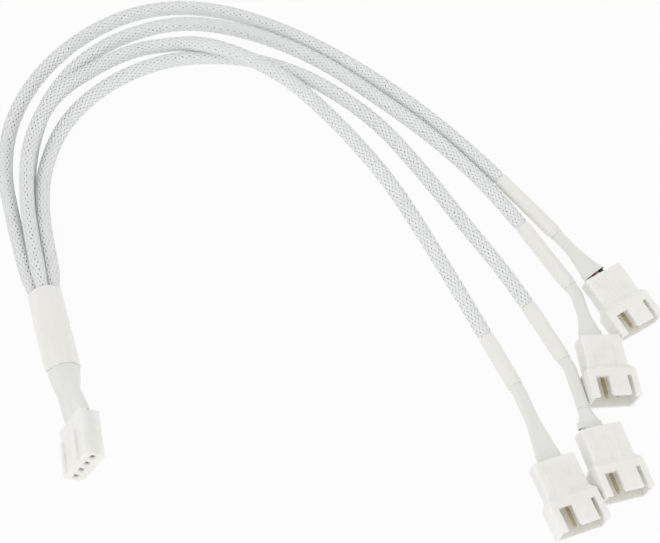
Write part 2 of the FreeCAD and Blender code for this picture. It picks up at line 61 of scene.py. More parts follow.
def linear(code: str) -> tuple[float, float, float, float]:
    """Turns an sRGB hex colour into linear light.

    Args:
        code: Six hex digits, with or without a leading mark.

    Returns:
        Red, green, blue and an alpha of one.
    """
    digits = code.lstrip("#")
    values = [int(digits[i:i + 2], 16) / 255 for i in (0, 2, 4)]
    light = [v / 12.92 if v <= 0.04045 else ((v + 0.055) / 1.055) ** 2.4 for v in values]
    return (light[0], light[1], light[2], 1.0)


def add_node(tree: bpy.types.NodeTree, kind: str, settings: dict | None = None,
             links: dict | None = None) -> bpy.types.Node:
    """Adds one node with its settings and links.

    Args:
        tree: Node tree of a material or the world.
        kind: Type of the node.
        settings: Properties and input values, by property name or input name.
        links: Output sockets, by the name or number of the input that they feed.

    Returns:
        The new node.
    """
    node = tree.nodes.new(kind)
    for name, value in (settings or {}).items():
        if isinstance(name, str) and hasattr(node, name):
            setattr(node, name, value)
        else:
            node.inputs[name].default_value = value
    for name, socket in (links or {}).items():
        tree.links.new(socket, node.inputs[name])
    return node


@dataclass(frozen=True)
class Finish:
    """A real material and how its surface was made.

    Each finish has a colour that drifts to a second tone in soft patches, and a fine relief. Sizes are in
    metres: how wide the patches are, how wide the relief's grain is, how high it stands, and how deep light
    soaks in where the finish glows.
    """

    name: str
    colour: str
    tone: str
    ior: float
    roughness: float
    patch: float
    grain: float
    relief: float
    stretch: float = 1.0
    roughness_spread: float = 0.06
    metallic: float = 0.0
    glow: float = 0.0
    glow_depth: float = 0.0
    glow_reach: tuple[float, float, float] = (1.0, 0.95, 0.85)
    patch_detail: float = 3.0
    patch_edges: tuple[float, float] = (0.3, 0.7)
    grain_detail: float = 2.0

    def material(self) -> bpy.types.Material:
        """Makes the material, or gives the one that was made before.

        Returns:
            The material.
        """
        made = bpy.data.materials.get(self.name)
        if made is None:
            made = bpy.data.materials.new(self.name)
            made.use_nodes = True
            made.node_tree.nodes.clear()
            self.draw(made.node_tree)
        return made

    def draw(self, tree: bpy.types.NodeTree) -> None:
        """Draws the shader: patches in the colour, grain in the roughness and in the relief.

        Args:
            tree: The material's node tree.
        """
        place = self.place(tree)
        patches = add_node(tree, "ShaderNodeTexNoise",
                           {"Scale": 1 / self.patch, "Detail": self.patch_detail}, {"Vector": place})
        colours = add_node(tree, "ShaderNodeValToRGB", links={"Fac": patches.outputs["Fac"]})
        codes = (self.tone, self.colour)
        for stop, edge, code in zip(colours.color_ramp.elements, self.patch_edges, codes):
            stop.position = edge
            stop.color = linear(code)
        grain = add_node(tree, "ShaderNodeTexNoise",
                         {"Scale": 1 / self.grain, "Detail": self.grain_detail}, {"Vector": place})
        rough = add_node(tree, "ShaderNodeMapRange",
                         {"To Min": self.roughness - self.roughness_spread,
                          "To Max": self.roughness + self.roughness_spread},
                         {"Value": grain.outputs["Fac"]})
        bump = add_node(tree, "ShaderNodeBump", {"Strength": 1.0, "Distance": self.relief},
                        {"Height": grain.outputs["Fac"]})
        shader = add_node(tree, "ShaderNodeBsdfPrincipled",
                          {"IOR": self.ior, "Metallic": self.metallic, "Subsurface Weight": self.glow,
                           "Subsurface Scale": self.glow_depth, "Subsurface Radius": self.glow_reach},
                          {"Base Color": colours.outputs["Color"], "Roughness": rough.outputs["Result"],
                           "Normal": bump.outputs["Normal"]})
        add_node(tree, "ShaderNodeOutputMaterial", links={"Surface": shader.outputs["BSDF"]})

    def place(self, tree: bpy.types.NodeTree) -> bpy.types.NodeSocket:
        """Finds where the patterns are read: in the part's frame, or along the piece where they stretch.

        Args:
            tree: The material's node tree.

        Returns:
            Output socket with places in metres.
        """
        source = add_node(tree, "ShaderNodeTexCoord")
        if self.stretch == 1.0:
            return source.outputs["Object"]
        drawn = add_node(tree, "ShaderNodeMapping", {"Scale": (1 / self.stretch, 1.0, 1.0)},
                         {"Vector": source.outputs["UV"]})
        return drawn.outputs["Vector"]


# Extruded polyester monofilament, braided: white threads, each with a soft lengthwise shine.
BRAID = Finish("polyester_monofilament_braided", "#F5F6F6", "#EDEEEE", ior=1.57, roughness=0.45,
               patch=1.1 * MM, grain=0.12 * MM, relief=0.008 * MM, stretch=12.0)
# Polyolefin tube shrunk by heat: warm white, satin, with faint drawn lines along the tube.
SHRINK = Finish("polyolefin_heat_shrunk", "#F6F5F1", "#EFEEE9", ior=1.49, roughness=0.48,
                patch=2.5 * MM, grain=0.5 * MM, relief=0.03 * MM, stretch=8.0,
                glow=0.12, glow_depth=0.4 * MM)
# The same tube drawn thinner over the wires: the dark wires under it grey it a little.
THIN_SHRINK = Finish("polyolefin_heat_shrunk_thin", "#F0F0EC", "#E9E9E5", ior=1.49, roughness=0.45,
                     patch=2.5 * MM, grain=0.5 * MM, relief=0.03 * MM, stretch=8.0)
# Soft PVC extruded over each inner wire: white, seen only through the braid's openings.
JACKET = Finish("soft_pvc_extruded_white", "#F6F6F4", "#EEEEEC", ior=1.54, roughness=0.45,
                patch=1.6 * MM, grain=0.25 * MM, relief=0.01 * MM, stretch=6.0)
# Soft PVC extruded over copper and coloured through: black, with a low gloss and a faint grain.
WIRE = Finish("soft_pvc_extruded_black", "#1E1E1F", "#151516", ior=1.54, roughness=0.38,
              patch=1.6 * MM, grain=0.25 * MM, relief=0.01 * MM)
# The same skin coloured dark grey, seen as a row of specks through the braid's openings.
WIRE_GREY = Finish("soft_pvc_extruded_grey", "#3E3E40", "#343436", ior=1.54, roughness=0.38,
                   patch=1.6 * MM, grain=0.25 * MM, relief=0.01 * MM)
# The same skin coloured red.
WIRE_RED = Finish("soft_pvc_extruded_red", "#8A2026", "#751A20", ior=1.54, roughness=0.38,
                  patch=1.6 * MM, grain=0.25 * MM, relief=0.01 * MM)
# Nylon moulded in a spark-eroded tool: milky white, satin, light soaks into the thin walls.
HOUSING = Finish("nylon_moulded_satin", "#F7F6F2", "#F1F0EB", ior=1.53, roughness=0.42,
                 patch=3.0 * MM, grain=0.18 * MM, relief=0.01 * MM, glow=0.55, glow_depth=1.1 * MM)
# Brass strip stamped and thinly tin-plated: pale metal, still warm from the brass, with a soft sheen.
CONTACT = Finish("brass_stamped_tin_plated", "#DCD2B4", "#C2B795", ior=1.5, roughness=0.4,
                 patch=0.8 * MM, grain=0.1 * MM, relief=0.01 * MM, metallic=1.0)
# Brass barrel rolled and crimped: yellow metal dulled by the tool.
SPLICE = Finish("brass_rolled_crimped", "#C8A45C", "#9C7B3E", ior=1.5, roughness=0.42,
                patch=0.8 * MM, grain=0.15 * MM, relief=0.02 * MM, metallic=1.0)
# Radius of a wire cover over a bundle, by the number of its wires
BUNDLE_RADII = {3: 1.502 * MM, 4: 1.656 * MM}


@dataclass
class Centreline:
    """Smooth line of a cord, with two directions across it that don't twist along the way."""

    points: np.ndarray
    distance: np.ndarray
    side: np.ndarray
    up: np.ndarray

    @classmethod
    def through(cls, name: str, controls: list[Vector], steps: int = 32) -> "Centreline":
        """Reads a smooth spline that has the route's points as its control points.

        Args:
            name: Name of the spline while it is read.
            controls: The route's points.
            steps: Points read in each span.

        Returns:
            The line.
        """
        curve = bpy.data.curves.new(name, "CURVE")
        curve.dimensions = "3D"
        spline = curve.splines.new("NURBS")
        spline.points.add(len(controls) - 1)
        for point, place in zip(spline.points, controls):
            point.co = (place[0], place[1], place[2], 1.0)
        spline.order_u = 3
        spline.use_endpoint_u = True
        spline.resolution_u = steps
        holder = bpy.data.objects.new(name, curve)
        mesh = bpy.data.meshes.new_from_object(holder)
        points = np.array([vertex.co for vertex in mesh.vertices])
        bpy.data.objects.remove(holder)
        bpy.data.meshes.remove(mesh)
        bpy.data.curves.remove(curve)
        return cls.along(points)

    @classmethod
    def along(cls, points: np.ndarray) -> "Centreline":
        """Makes the line from points that lie close together.

        Args:
            points: Rows of x, y and z.

        Returns:
            The line.
        """
        runs = np.linalg.norm(np.diff(points, axis=0), axis=1)
        distance = np.concatenate([[0.0], np.cumsum(runs)])
        heading = np.gradient(points, distance, axis=0)
        heading /= np.linalg.norm(heading, axis=1)[:, None]
        side = np.zeros_like(points)
        side[0] = np.cross(heading[0], (0.0, 0.0, 1.0))
        side[0] /= np.linalg.norm(side[0])
        for i in range(1, len(points)):
            carried = side[i - 1] - heading[i] * (side[i - 1] @ heading[i])
            side[i] = carried / np.linalg.norm(carried)
        return cls(points, distance, side, np.cross(side, heading))

    @property
    def length(self) -> float:
        """Length of the line."""
        return float(self.distance[-1])

    def turn_to(self, side: Vector) -> float:
        """Least angle that brings the carried side in line with a wanted direction, at the line's end."""
        wanted = np.array(side)
        return math.atan(float(wanted @ self.up[-1]) / float(wanted @ self.side[-1]))

    def around(self, distance: np.ndarray, angle: np.ndarray, radius: np.ndarray) -> np.ndarray:
        """Places of points around the line.

        Args:
            distance: How far along the line each point is.
            angle: Its angle about the line.
            radius: How far from the line it is.

        Returns:
            Points, with one more axis than the arrays given.
        """
        def read(values: np.ndarray) -> np.ndarray:
            """Reads rows of the line at the wanted distances."""
            columns = [np.interp(distance, self.distance, values[:, i]) for i in range(3)]
            return np.stack(columns, axis=-1)

        across = read(self.side) * np.cos(angle)[..., None] + read(self.up) * np.sin(angle)[..., None]
        return read(self.points) + across * radius[..., None]


def skin(name: str, grid: np.ndarray, flat: np.ndarray, closed: bool) -> bpy.types.Mesh:
    """Covers strips of points with four-sided faces.

    Args:
        name: Name of the mesh.
        grid: Points by strip, row and place across the row.
        flat: The same points laid flat, along and across, in metres.
        closed: Whether each row joins back to its start.

    Returns:
        The mesh, shaded smooth, with the flat layout as its map.
    """
    strips, rows, columns = grid.shape[:3]
    number = np.arange(strips * rows * columns).reshape(strips, rows, columns)
    here = number if closed else number[:, :, :-1]
    beside = np.roll(number, -1, axis=2) if closed else number[:, :, 1:]
    corners = np.stack([here[:, :-1], here[:, 1:], beside[:, 1:], beside[:, :-1]], axis=-1).reshape(-1, 4)
    mesh = bpy.data.meshes.new(name)
    mesh.vertices.add(number.size)
    mesh.vertices.foreach_set("co", grid.astype(np.float32).ravel())
    mesh.loops.add(corners.size)
    mesh.loops.foreach_set("vertex_index", corners.astype(np.int32).ravel())
    mesh.polygons.add(len(corners))
    mesh.polygons.foreach_set("loop_start", np.arange(0, corners.size, 4, dtype=np.int32))
    mesh.polygons.foreach_set("use_smooth", np.ones(len(corners), bool))
    layer = mesh.uv_layers.new(name="flat")
    layer.data.foreach_set("uv", flat.reshape(-1, 2)[corners.ravel()].astype(np.float32).ravel())
    mesh.update()
    mesh.validate()
    return mesh


def add_piece(name: str, mesh: bpy.types.Mesh, finish: Finish,
              nodes: list[str]) -> bpy.types.Object:
    """Adds a piece that rides with the part.

    Args:
        name: Name of the piece.
        mesh: Its mesh.
        finish: What it is made of.
        nodes: Solids that it stands for.

    Returns:
        The piece.
    """
    made = bpy.data.objects.new(name, mesh)
    bpy.context.scene.collection.objects.link(made)
    mesh.materials.append(finish.material())
    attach(made, BODY)
    if nodes:
        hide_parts(*nodes)
    LOG.info("%s: %d faces", name, len(mesh.polygons))
    return made


def eased(share: np.ndarray) -> np.ndarray:
    """Goes from zero to one with a soft start and a soft end."""
    held = np.clip(share, 0.0, 1.0)
    return held * held * (3 - 2 * held)


def softened(along: np.ndarray, places: list[float], values: list[float], reach: float = 0.8 * MM,
             reads: int = 9) -> np.ndarray:
    """Straight lines between given values, with their corners rounded off.

    Args:
        along: Where to read.
        places: Where the values are given.
        values: The given values.
        reach: How far a corner is felt to each side.
        reads: How many readings are averaged over that reach.

    Returns:
        The values read.
    """
    shifts = np.linspace(-reach, reach, reads)
    return np.mean([np.interp(along + shift, places, values) for shift in shifts], axis=0)


def with_corners(points: list[Vector], reach: float = 1.6 * MM) -> list[Vector]:
    """Adds a point close to each side of the inner corners, so that a spline keeps to the straight runs.

    Args:
        points: Corners of the line, with its two ends.
        reach: How far from its corner each added point is.

    Returns:
        All the points, in order.
    """
    found = [points[0]]
    for before, corner, after in zip(points, points[1:], points[2:]):
        found.append(corner + (before - corner).normalized() * reach)
        found.append(corner)
        found.append(corner + (after - corner).normalized() * reach)
    return found + [points[-1]]


@dataclass(frozen=True)
class Plug:
    """Place of a plug, from the part's mounts, with its own roll and size."""

    mount: str
    roll: float
    length: float

    @property
    def axis(self) -> Vector:
        """The way its mouth faces."""
        return Vector(self.record()["axis"])

    @property
    def side(self) -> Vector:
        """Direction along its row of contacts.

        Returns:
            The direction, turned by the plug's roll from level.
        """
        level = Vector((0.0, 0.0, 1.0)).cross(self.axis).normalized()
        up = self.axis.cross(level)
        roll = math.radians(self.roll)
        return level * math.cos(roll) - up * math.sin(roll)

    def record(self) -> dict:
        """The mount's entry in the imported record."""
        return next(mount for mount in frame["record"]["mounts"] if mount["name"] == self.mount)

    def behind(self, distance: float, across: float) -> Vector:
        """Point behind its wire end, at the height of the row of contacts."""
        mouth = Vector(self.record()["pos_m"])
        return mouth - self.axis * (self.length + distance) + self.side * across


@dataclass(frozen=True)
class Tube:
    """A thin tube shrunk over wires that leave a bundle for a flat row, with shallow valleys between them.

    Its end can be cut on a slant, which shortens one side.
    """

    wall: float
    wires: int
    pitch: float
    valley: float = 0.16 * MM
    columns: int = 72
    inward: float = 2.0 * MM
    rim_share: float = 0.15
    squaring: float = 1 / 3
    slant: float = 0.0
    slant_run: float = 3.0 * MM

    def shell(self, name: str, line: Centreline, rings: np.ndarray) -> bpy.types.Mesh:
        """Skins the tube, with a short way into both of its open ends.

        Args:
            name: Name of the mesh.
            line: Centreline of the tube.
            rings: Rows of distance, half width, half height, flatness from zero to one, and turn about the
                line.

        Returns:
            The mesh.
        """
        inner = np.array([0.0, self.wall, self.wall, 0.0, 0.0])
        ahead = np.array([self.inward, 0.0, 0.0, 0.0, 0.0])
        rim = inner * self.rim_share
        first, last = rings[0], rings[-1]
        rows = np.vstack([first - inner + ahead, first - inner, first - rim, rings[1:-1],
                          last - rim, last - inner, last - inner - ahead])
        around = np.linspace(0.0, 2 * math.pi, self.columns, endpoint=False)
        distance, width, height, flat, turn = (rows[:, i:i + 1] for i in range(5))
        power = 1 - flat * self.squaring
        x = width * np.sign(np.cos(around)) * np.abs(np.cos(around)) ** power
        y = height * np.sign(np.sin(around)) * np.abs(np.sin(around)) ** power
        half_row = (self.wires - 1) / 2 * self.pitch
        phase = 0.0 if self.wires % 2 else math.pi
        place = x * rings[-1, 1] / width
        between = 0.5 - 0.5 * np.cos(2 * math.pi * place / self.pitch + phase)
        y = y - np.sign(y) * self.valley * flat * between * (np.abs(place) < half_row)
        angle = np.arctan2(y, x) + turn
        short_side = 0.5 * abs(self.slant) + 0.5 * self.slant * x / width
        near_end = eased(1 - (rings[-1, 0] - distance) / self.slant_run)
        grid = line.around(distance - short_side * near_end, angle, np.hypot(x, y))
        layout = np.stack(np.broadcast_arrays(distance, around * width.max()), axis=-1)
        return skin(name, grid[None], layout[None], closed=True)


@dataclass(frozen=True)
class Joint:
    """Shrink-wrapped joint where the legs meet: an outer tube, and an inner one that goes to the plug.

    A size that ends in run is the length over which a form fades in or out.
    """

    start: tuple[float, float, float] = (-0.072, 0.011, 0.0042)
    end: tuple[float, float, float] = (-0.0646, -0.010, 0.0042)
    radius: float = 4.2 * MM
    seat: float = 8.0 * MM
    neck_radius: float = 1.525 * MM
    legs: int = 4
    leg_hollow: float = 0.22 * MM
    leg_run: float = 13.0 * MM
    mouth_rim: float = 0.35 * MM
    mouth_run: float = 0.5 * MM
    lip_drop: float = 0.40 * MM
    lip_run: float = 1.2 * MM
    lip_slant: float = 1.8 * MM
    lip_turn: float = 2.3
    slant_start: float = 0.2
    ripple: float = 0.05 * MM
    ripple_spacing: float = 9.0 * MM
    fine_ripple: float = 0.03 * MM
    inward: float = 3.0 * MM
    inner_radius: float = 3.7 * MM
    inner_gap: float = 0.01 * MM
    inner_wall: float = 0.25 * MM
    tuck: float = 1.0 * MM
    lines: int = 4
    row: tuple[float, float] = (2.8 * MM, 1.35 * MM)
    row_flatness: float = 0.8
    row_pitch: float = 1.783 * MM
    row_lead: float = 6.2 * MM
    plug_row: tuple[float, float] = (4.5 * MM, 1.0 * MM)
    cover_end: float = 0.1 * MM
    rings: int = 90
    columns: int = 96
    plug: Plug = Plug("supply_socket", -50.0, 12.3 * MM)

    @property
    def axis(self) -> Vector:
        """Direction from the mouth towards the socket plug."""
        return (Vector(self.end) - Vector(self.start)).normalized()

    @property
    def length(self) -> float:
        """Length of the outer tube."""
        return (Vector(self.end) - Vector(self.start)).length

    def point(self, distance: float, side: float, up: float) -> Vector:
        """Point by its distance from the mouth along the axis, and its place across the section."""
        across = Vector((-self.axis.y, self.axis.x, 0.0))
        return Vector(self.start) + self.axis * distance + across * side + Vector((0.0, 0.0, up))

    def outer(self) -> bpy.types.Object:
        """Shrinks the outer tube: it shows the four legs at its mouth and ends in a soft slanted lip.

        Returns:
            The piece.
        """
        controls = [self.point(self.length * share, 0.0, 0.0) for share in (0.0, 1 / 3, 2 / 3, 1.0)]
        line = Centreline.through("joint_line", controls)
        along = np.linspace(0.0, line.length, self.rings)
        around = np.linspace(0.0, 2 * math.pi, self.columns, endpoint=False)
        mouth = self.mouth_rim * (1 - np.clip(along / self.mouth_run, 0.0, 1.0)) ** 2
        lip = self.lip_drop * (1 - np.clip((line.length - along) / self.lip_run, 0.0, 1.0)) ** 2
        over_legs = 1 - eased(along / self.leg_run)
        hollow = self.leg_hollow * (0.5 - 0.5 * np.cos(self.legs * around)) * over_legs[:, None]
        drawn = self.ripple * (np.sin(3 * around + 1.0) - 1)
        drawn = drawn + self.fine_ripple * (np.sin(7 * around + along[:, None] / self.ripple_spacing) - 1)
        radius = self.radius - (mouth + lip)[:, None] - hollow + drawn
        slant = self.lip_slant * eased(along / line.length - self.slant_start) ** 2
        place = along[:, None] + slant[:, None] * np.cos(around - self.lip_turn)
        inner = np.full((1, self.columns), self.inner_radius + self.inner_gap)
        radius = np.vstack([inner, radius, inner])
        place = np.vstack([place[:1] + self.inward, place, place[-1:] - self.inward])
        grid = line.around(place, np.broadcast_to(around, radius.shape), radius)
        layout = np.stack(np.broadcast_arrays(place, around * self.radius), axis=-1)
        mesh = skin("joint_tube", grid[None], layout[None], closed=True)
        return add_piece("joint_tube", mesh, SHRINK, ["trunk_shrink"])

    def inner(self) -> bpy.types.Object:
        """Shrinks the inner tube: round in the joint, drawn flat over the row of wires up to the plug.

        Returns:
            The piece.
        """
        narrow = self.point(self.length + self.row_lead, 0.0, 0.0)
        stops = [self.point(self.seat, 0.0, 0.0), narrow, self.plug.behind(self.cover_end, 0.0)]
        line = Centreline.through("inner_line", with_corners(stops))
        along = np.linspace(0.0, line.length, self.rings)
        leave = self.length + self.tuck - self.seat
        tight = self.length + self.row_lead - self.seat
        places = [leave, tight, line.length]
        roll = line.turn_to(self.plug.side)
        rings = np.stack([
            along,
            softened(along, places, [self.inner_radius, self.row[0], self.plug_row[0]]),
            softened(along, places, [self.inner_radius, self.row[1], self.plug_row[1]]),
            softened(along, places, [0.0, self.row_flatness, 1.0]),
            softened(along, places, [0.0, roll / 2, roll])], axis=1)
        tube = Tube(wall=self.inner_wall, wires=self.lines, pitch=self.row_pitch)
        mesh = tube.shell("inner_tube", line, rings)
        return add_piece("inner_tube", mesh, THIN_SHRINK, ["inner_shrink"])


@dataclass(frozen=True)
class Collar:
    """Shrink collar over a sleeve's end, with a thin lip on the cover of the wires that leave it.

    A size that ends in run is the length over which a form fades in or out.
    """

    length: float
    seat: float = 6.0 * MM
    radius: float = 1.95 * MM
    rim: float = 0.12 * MM
    rim_run: float = 0.3 * MM
    end_run: float = 0.2 * MM
    lip: float = 1.2 * MM
    lip_wall: float = 0.25 * MM
    lip_run: float = 0.4 * MM
    lobe: float = 0.05 * MM
    lobe_run: float = 3.0 * MM
    uneven: float = 0.02 * MM
    uneven_spacing: float = 3.0 * MM
    fit: float = 0.03 * MM
    inward: float = 1.5 * MM
    rings: int = 90
    columns: int = 64

    def build(self, leg: "BraidedLeg", line: Centreline) -> bpy.types.Object:
        """Shrinks the collar, with the wires' forms showing in it past the sleeve's end.

        Args:
            leg: The leg that it closes.
            line: The leg's tail.

        Returns:
            The piece.
        """
        around = np.linspace(0.0, 2 * math.pi, self.columns, endpoint=False)
        along = np.linspace(0.0, self.length, self.rings)
        to_end = self.length - along
        rim = self.rim * (1 - np.clip(along / self.rim_run, 0.0, 1.0)) ** 2
        rounded = self.rim * (1 - np.clip(to_end / self.end_run, 0.0, 1.0)) ** 2
        lip_drop = self.radius - leg.bundle_radius() - self.lip_wall
        lip = lip_drop * eased((self.lip + self.lip_run / 2 - to_end) / self.lip_run)
        past_sleeve = eased((along - self.seat) / self.lobe_run)
        lobes = self.lobe * (np.cos(leg.wires * around + leg.number) - 1) * past_sleeve[:, None]
        uneven = self.uneven * (np.sin(2 * around + along[:, None] / self.uneven_spacing + leg.number) - 1)
        radius = self.radius - (rim + lip + rounded)[:, None] + lobes + uneven
        on_sleeve = np.full((2, self.columns), leg.squeezed + self.fit)
        on_cover = np.full((2, self.columns), leg.bundle_radius() + self.fit)
        radius = np.vstack([on_sleeve, radius, on_cover])
        reach = np.concatenate([[self.inward, 0.0], along, [self.length, self.length - self.inward]])
        place = np.broadcast_to(reach[:, None], radius.shape)
        grid = line.around(place, np.broadcast_to(around, radius.shape), radius)
        layout = np.stack(np.broadcast_arrays(place, around * self.radius), axis=-1)
        name = f"collar_tube_{leg.number}"
        mesh = skin(name, grid[None], layout[None], closed=True)
        return add_piece(name, mesh, SHRINK, [f"collar_{leg.number}"])


@dataclass
class BraidedLeg:
    """A braided leg with its inner wires, from the joint to the collar behind its pin plug.

    A size that ends in run is the length over which a form fades in or out. The wires' turns are angles
    about the leg, given at the turn places, which are shares of its length.
    """

    number: int
    mouth: tuple[float, float]
    clear: tuple[float, float]
    route: list[tuple[float, float, float]]
    wires: int
    wire_turns: tuple[float, float, float, float]
    joint: Joint
    plug: Plug
    collar: Collar
    flare: float
    cover_end: float
    cover_gap: float
    cover_slant: float = 0.0
    passing: tuple[tuple[float, float, float], ...] = ()
    radius: float = 1.9 * MM
    clear_run: float = 6.0 * MM
    swell: float = 0.09
    loose_start: float = 30.0 * MM
    loose_end: float = 15.0 * MM
    loose_run: float = 40.0 * MM
    squeezed: float = 1.55 * MM
    squeeze_run: float = 1.5 * MM
    carriers: int = 12
    hole_pitch: float = 2.1 * MM
    steps_per_crossing: int = 4
    ribbon: float = 0.70 * MM
    open_share: float = 0.88
    open_run: float = 150.0 * MM
    weave: float = 0.11 * MM
    thread: float = 0.06 * MM
    thread_heights: tuple[float, ...] = (-0.35, 0.85, 0.3, 0.85, -0.35)
    drift: float = 0.02
    sway: float = 0.015
    sway_spacing: float = 9.0 * MM
    turn_places: tuple[float, float, float, float] = (0.16, 0.32, 0.48, 1.0)
    turn_reach: float = 8.0 * MM
    wire_step: float = 1.8 * MM
    core_radius: float = 1.62 * MM
    core_columns: int = 48
    groove_depth: float = 0.3 * MM
    groove_power: int = 8
    dark_radius: float = 0.6 * MM
    dark_top: float = 1.68 * MM
    dark_columns: int = 16
    past_collar: float = 2.5 * MM
    plug_pitch: float = 2.54 * MM
    cover_tuck: float = 4.0 * MM
    cover_spread: float = 3.0 * MM
    cover_widening: float = 0.3
    cover_room: float = 0.815 * MM
    cover_wall: float = 0.15 * MM
    cover_rings: int = 80

    def controls(self) -> list[Vector]:
        """Route of the leg: seated in the joint, its mouth, just clear of it, and on to the collar.

        Returns:
            Control points of the leg's spline.
        """
        spread = self.joint.neck_radius * math.sqrt(2)
        side, up = self.mouth[0] * spread, self.mouth[1] * spread
        clear = self.joint.point(-self.clear_run, self.clear[0], self.clear[1] - self.joint.start[2])
        start = [self.joint.point(self.joint.seat, side, up), self.joint.point(0.0, side, up), clear]
        bend = [Vector((x, y, z * (1 + self.swell))) for x, y, z in self.route[1:-2]]
        return start + [Vector(self.route[0])] + bend + [Vector(place) for place in self.route[-2:]]

    def looseness(self, distance: np.ndarray, length: float) -> np.ndarray:
        """How freely the braid swells: not at all near its ends, and fully over the bend."""
        freed = eased((distance - self.loose_start) / self.loose_run)
        return freed * eased((length - self.loose_end - distance) / self.loose_run)

    def outside(self, distance: np.ndarray, length: float) -> np.ndarray:
        """Outer radius along the leg: a neck in the joint, a flare, the sleeve, and its end in the collar.

        Args:
            distance: Where to read it.
            length: Length of the leg.

        Returns:
            The radius at each distance.
        """
        flare = eased((distance - self.joint.seat) / self.clear_run)
        squeeze = eased((distance - length + self.collar.seat + self.squeeze_run) / self.squeeze_run)
        plain = self.joint.neck_radius + (self.radius - self.joint.neck_radius) * flare
        swollen = plain * (1 + self.swell * self.looseness(distance, length))
        return swollen - (self.radius - self.squeezed) * squeeze

    def braid(self, line: Centreline) -> bpy.types.Mesh:
        """Weaves the sleeve: ribbons of two threads that wind both ways, over one and under one.

        The weave is open by the joint, where the legs bunch up, and closes along the leg.

        Args:
            line: The leg's centreline.

        Returns:
            The mesh of all the ribbons.
        """
        lay = self.carriers * self.hole_pitch
        rows = int(line.length / (self.hole_pitch / 2) * self.steps_per_crossing)
        along = np.linspace(0.0, line.length, rows)
        middle = self.radius - self.weave - self.thread
        slope = math.atan(2 * math.pi * middle / lay)
        width = self.ribbon * (self.open_share + (1 - self.open_share) * eased(along / self.open_run))
        across = width[:, None] * np.linspace(-0.5, 0.5, len(self.thread_heights))
        section = np.array(self.thread_heights) * self.thread
        chance = np.random.default_rng(self.number)
        grids, flats = [], []
        for way in (1, -1):
            for carrier in range(self.carriers):
                drift = chance.uniform(-self.drift, self.drift)
                sway = self.sway * np.sin(along / self.sway_spacing + chance.uniform(0, 2 * math.pi))
                angle = 2 * math.pi * (way * along / lay + carrier / self.carriers) + drift + sway
                wave = way * self.weave * np.cos(2 * math.pi * along / self.hole_pitch)
                place = along[:, None] - way * math.sin(slope) * across
                turned = angle[:, None] + math.cos(slope) * across / middle
                share = self.outside(place, line.length) / self.radius
                radius = (middle + wave[:, None] + section) * share
                grids.append(line.around(np.clip(place, 0.0, line.length), turned, radius))
                layout = np.broadcast_arrays(along[:, None], across + carrier * self.ribbon)
                flats.append(np.stack(layout, axis=-1))
        return skin(f"braid_{self.number}", np.array(grids), np.array(flats), closed=False)

    def wire_angle(self, along: np.ndarray, length: float) -> np.ndarray:
        """Angle at which the dark wire lies against the sleeve."""
        places = [share * length for share in self.turn_places]
        return softened(along, places, list(self.wire_turns), self.turn_reach)

    def core(self, line: Centreline) -> bpy.types.Mesh:
        """Packs the white wires that fill the sleeve, with a shallow groove between neighbours.

        Args:
            line: The leg's centreline.

        Returns:
            The mesh of the wires' outsides.
        """
        along = np.linspace(0.0, line.length, int(line.length / self.wire_step))
        around = np.linspace(0.0, 2 * math.pi, self.core_columns, endpoint=False)
        groove = self.groove_depth * (0.5 + 0.5 * np.cos(self.wires * around)) ** self.groove_power
        fill = self.outside(along, line.length) / self.radius
        radius = (self.core_radius - groove) * fill[:, None]
        angle = around + self.wire_angle(along, line.length)[:, None]
        place = np.broadcast_to(along[:, None], angle.shape)
        layout = np.stack(np.broadcast_arrays(place, around * self.core_radius), axis=-1)
        grid = line.around(place, angle, radius)
        return skin(f"core_{self.number}", grid[None], layout[None], closed=True)

    def dark_wire(self, line: Centreline) -> bpy.types.Mesh:
        """Lays one dark wire against the inside of the sleeve, where it shows as a row of specks.

        Args:
            line: The leg's centreline.

        Returns:
            The mesh of the wire.
        """
        along = np.linspace(0.0, line.length, int(line.length / self.wire_step))
        around = np.linspace(0.0, 2 * math.pi, self.dark_columns, endpoint=False)
        turn = self.wire_angle(along, line.length)[:, None]
        fill = (self.outside(along, line.length) / self.radius)[:, None]
        off_axis = self.dark_top - self.dark_radius
        x = off_axis * np.cos(turn) + self.dark_radius * np.cos(around)
        y = off_axis * np.sin(turn) + self.dark_radius * np.sin(around)
        place = np.broadcast_to(along[:, None], x.shape)
        layout = np.stack(np.broadcast_arrays(place, around * self.dark_radius), axis=-1)
        grid = line.around(place, np.arctan2(y, x), np.hypot(x, y) * fill)
        return skin(f"dark_wire_{self.number}", grid[None], layout[None], closed=True)

    @property
    def cover_stretch(self) -> float:
        """How far the drawn cover reaches past the solid one, towards the plug."""
        return self.cover_end - self.cover_gap

    def bundle_radius(self) -> float:
        """Radius of the wire cover where the wires still lie in a bundle."""
        return BUNDLE_RADII[self.wires]

    def tail(self) -> Centreline:
        """Line from the collar's start, past the sleeve's end and the collar, to the back of the pin plug.

        Returns:
            The line.
        """
        sleeve_end = Vector(self.route[-1])
        way = (sleeve_end - Vector(self.route[-2])).normalized()
        start = sleeve_end - way * self.collar.seat
        across = 0.0 if self.wires == self.joint.lines else -self.plug_pitch / 2
        stops = [start, start + way * (self.collar.length + self.past_collar)]
        stops += [Vector(place) for place in self.passing]
        end = self.plug.behind(self.cover_end, across)
        back = (stops[-1] - end).normalized()
        stops += [end + back * self.flare, end - back * self.cover_stretch]
        return Centreline.through(f"tail_{self.number}", with_corners(stops))

